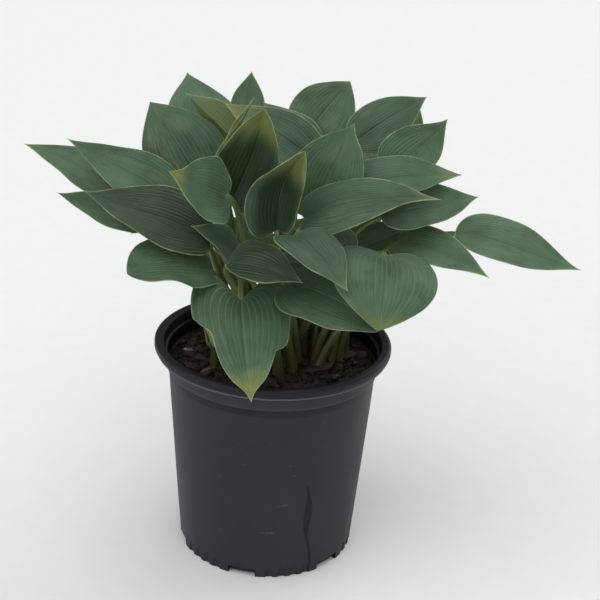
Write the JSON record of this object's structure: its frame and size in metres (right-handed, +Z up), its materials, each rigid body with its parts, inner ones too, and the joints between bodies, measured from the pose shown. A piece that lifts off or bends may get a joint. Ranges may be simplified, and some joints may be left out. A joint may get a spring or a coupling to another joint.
{
  "type": "potted hosta plant",
  "caption": "Clump of broad, pointed, ribbed leaves on long stalks, growing from bark mix in a round tapered nursery pot with a rolled lip.",
  "frame": {"origin": "middle of the pot's flat underside, on the ground", "axes": "+Z up the pot's axis; +X to the right along the plant's widest spread; +Y from the front, where the low leaf hangs over the lip, to the back"},
  "size_m": [0.523, 0.3745, 0.4492],
  "materials": {
    "pot": "semi-matte moulded black plastic, lightly scuffed",
    "soil": "damp bark mix with red-brown chips",
    "leaf": "blue-green, dulled by a waxy bloom, with pale sunken veins",
    "young_leaf": "pale yellow-green new growth"
  },
  "bodies": {
    "root": {"pot": "pot", "soil": "soil", "front_leaf_1": "leaf", "front_leaf_2": "leaf", "front_leaf_3": "leaf", "front_leaf_4": "leaf", "front_leaf_5": "leaf", "left_leaf_1": "leaf", "left_leaf_2": "leaf", "left_leaf_3": "leaf", "left_leaf_4": "leaf", "left_leaf_5": "leaf", "upper_leaf_1": "leaf", "upper_leaf_2": "leaf", "upper_leaf_3": "leaf", "upper_leaf_4": "leaf", "upper_leaf_5": "leaf", "upper_leaf_6": "leaf", "upper_leaf_7": "leaf", "upper_leaf_8": "leaf", "upper_leaf_9": "leaf", "middle_leaf_1": "leaf", "middle_leaf_2": "leaf", "middle_leaf_3": "leaf", "middle_leaf_4": "leaf", "middle_leaf_5": "leaf", "inner_leaf_1": "leaf", "inner_leaf_2": "leaf", "inner_leaf_3": "leaf", "inner_leaf_4": "leaf", "inner_leaf_5": "leaf", "inner_leaf_6": "leaf", "inner_leaf_7": "leaf", "right_leaf_1": "leaf", "right_leaf_2": "leaf", "right_leaf_3": "leaf", "right_leaf_4": "leaf", "right_leaf_5": "leaf", "back_leaf_1": "leaf", "back_leaf_2": "leaf", "back_leaf_3": "leaf", "back_leaf_4": "leaf", "back_leaf_5": "leaf", "back_leaf_6": "leaf", "back_leaf_7": "leaf", "back_leaf_8": "leaf", "back_leaf_9": "leaf", "back_leaf_10": "leaf", "back_leaf_11": "leaf", "back_leaf_12": "leaf", "back_leaf_13": "leaf", "furled_leaf": "young_leaf", "young_leaf": "young_leaf"}
  },
  "joints": []
}
